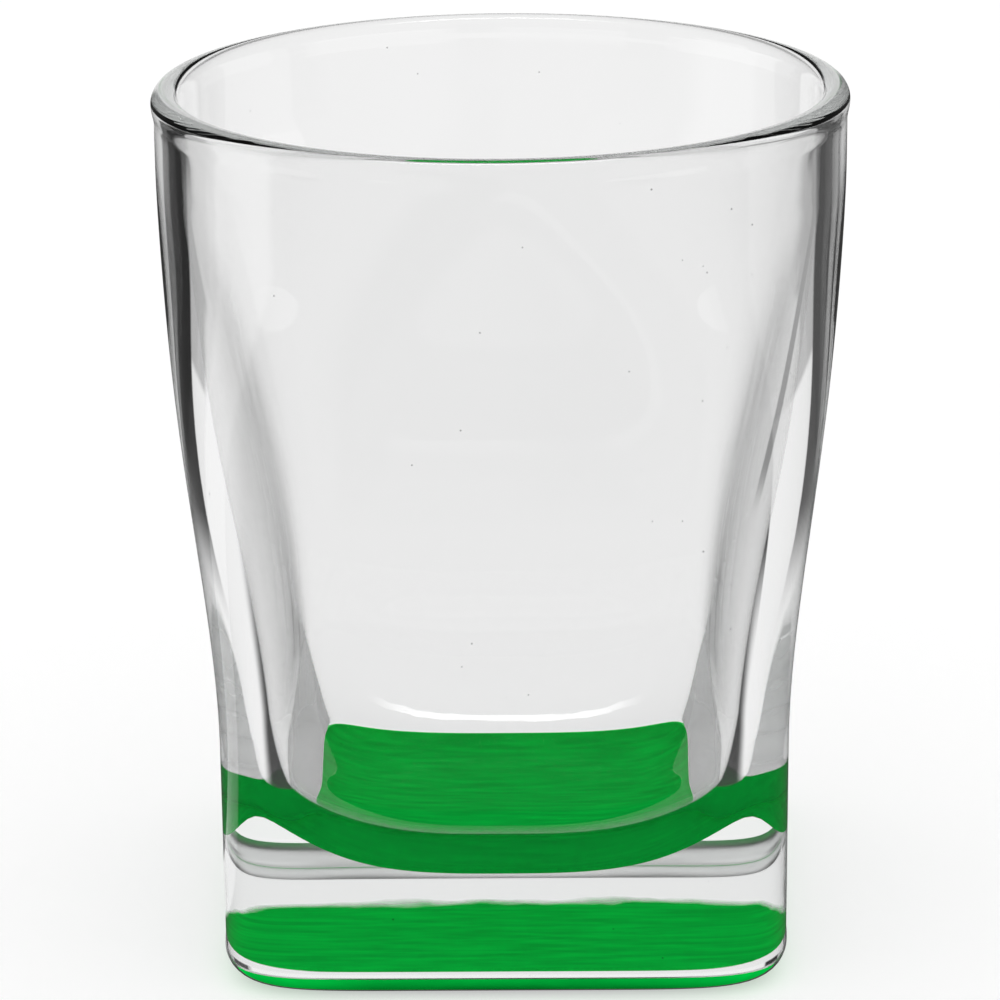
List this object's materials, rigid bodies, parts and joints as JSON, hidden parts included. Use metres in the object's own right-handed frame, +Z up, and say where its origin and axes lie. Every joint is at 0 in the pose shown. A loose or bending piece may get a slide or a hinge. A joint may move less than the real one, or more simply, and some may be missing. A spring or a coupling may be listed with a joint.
{
  "type": "whisky glass",
  "caption": "Clear pressed-glass tumbler, round at the rim and rounded-square at its thick base, with a green lacquer coat under the base; holds a drink.",
  "frame": {"origin": "centre of the face that the glass rests on", "axes": "+Z up along the glass's axis, +X and +Y square to the flat sides of the base"},
  "size_m": [0.08, 0.08, 0.0998],
  "materials": {
    "clear_glass": "clear, fire-polished",
    "green_lacquer": "opaque sprayed lacquer, glossy through the glass"
  },
  "bodies": {
    "root": {"glass_body": "clear_glass", "base_coat": "green_lacquer"}
  },
  "joints": []
}
